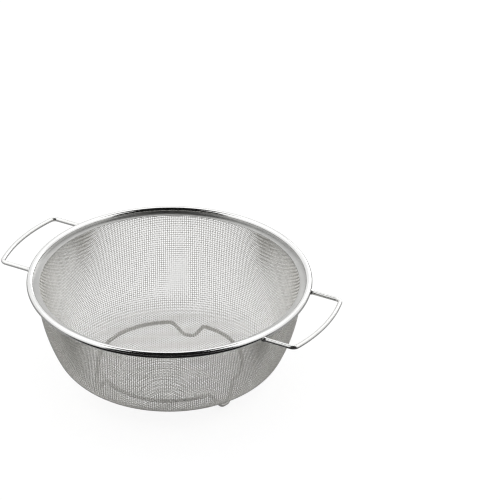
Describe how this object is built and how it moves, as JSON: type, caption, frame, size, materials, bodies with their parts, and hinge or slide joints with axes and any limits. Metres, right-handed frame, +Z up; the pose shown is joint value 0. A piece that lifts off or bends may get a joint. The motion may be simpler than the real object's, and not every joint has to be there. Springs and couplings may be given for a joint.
{
  "type": "mesh basket strainer",
  "caption": "Round mesh basket strainer: a flat-floored bowl of woven wire in a rolled steel rim, with wire loop handles and a wire foot ring.",
  "frame": {"origin": "on the surface that the feet stand on, below the middle of the bowl", "axes": "+Z up out of the open top, +X through the middle of the right-hand handle"},
  "size_m": [0.2834, 0.23, 0.0962],
  "materials": {
    "wire_cloth": "satin, woven stainless wire",
    "rim_steel": "mirror polished stainless strip",
    "core_wire": "plain drawn wire",
    "handle_wire": "mirror polished stainless wire",
    "foot_wire": "polished stainless wire"
  },
  "bodies": {
    "root": {"mesh_basket": "wire_cloth", "rim_band": "rim_steel", "rim_core_wire": "core_wire", "handle_left": "handle_wire", "handle_right": "handle_wire", "foot_ring": "foot_wire"}
  },
  "joints": []
}
